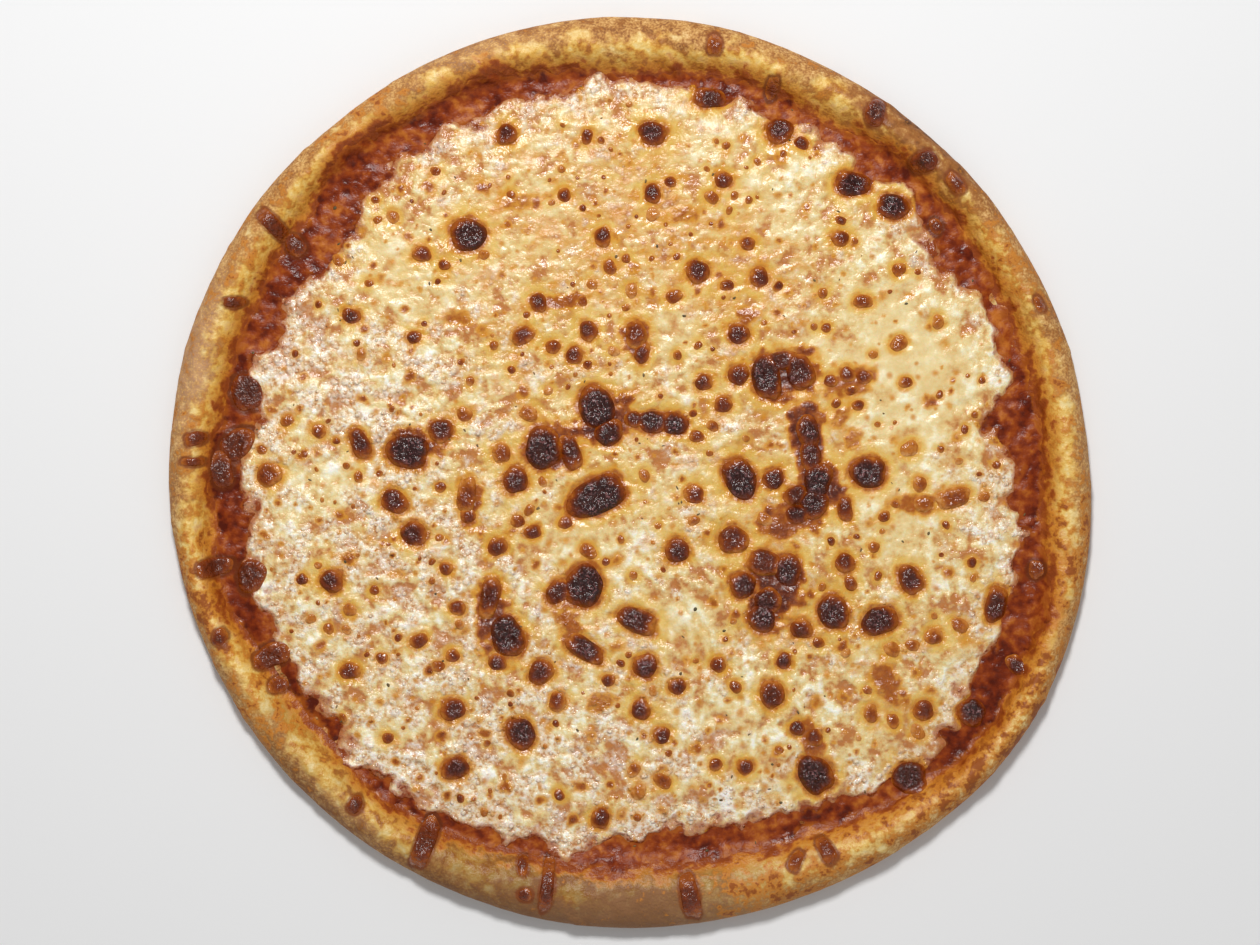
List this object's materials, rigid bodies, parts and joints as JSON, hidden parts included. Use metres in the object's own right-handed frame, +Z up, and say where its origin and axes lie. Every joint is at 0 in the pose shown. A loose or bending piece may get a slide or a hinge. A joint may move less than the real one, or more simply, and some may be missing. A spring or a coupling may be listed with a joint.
{
  "type": "margherita pizza",
  "caption": "Whole round cheese and tomato pizza, uncut: thin baked crust with a raised rim, a ring of sauce, and melted cheese with browned blisters.",
  "frame": {"origin": "middle of the flat underside", "axes": "+Z up out of the topping, +X to the right and +Y away in a view from above"},
  "size_m": [0.3601, 0.3557, 0.0147],
  "materials": {
    "baked_crust": "dry baked dough, golden to brown",
    "tomato_sauce": "moist, dark red",
    "melted_cheese": "melted, oily, browned in spots",
    "browned_cheese": "blistered skin, dark brown, glossy",
    "dried_herbs": "dry leaf flakes"
  },
  "bodies": {
    "root": {"crust": "baked_crust", "sauce": "tomato_sauce", "cheese": "melted_cheese"}
  },
  "joints": []
}
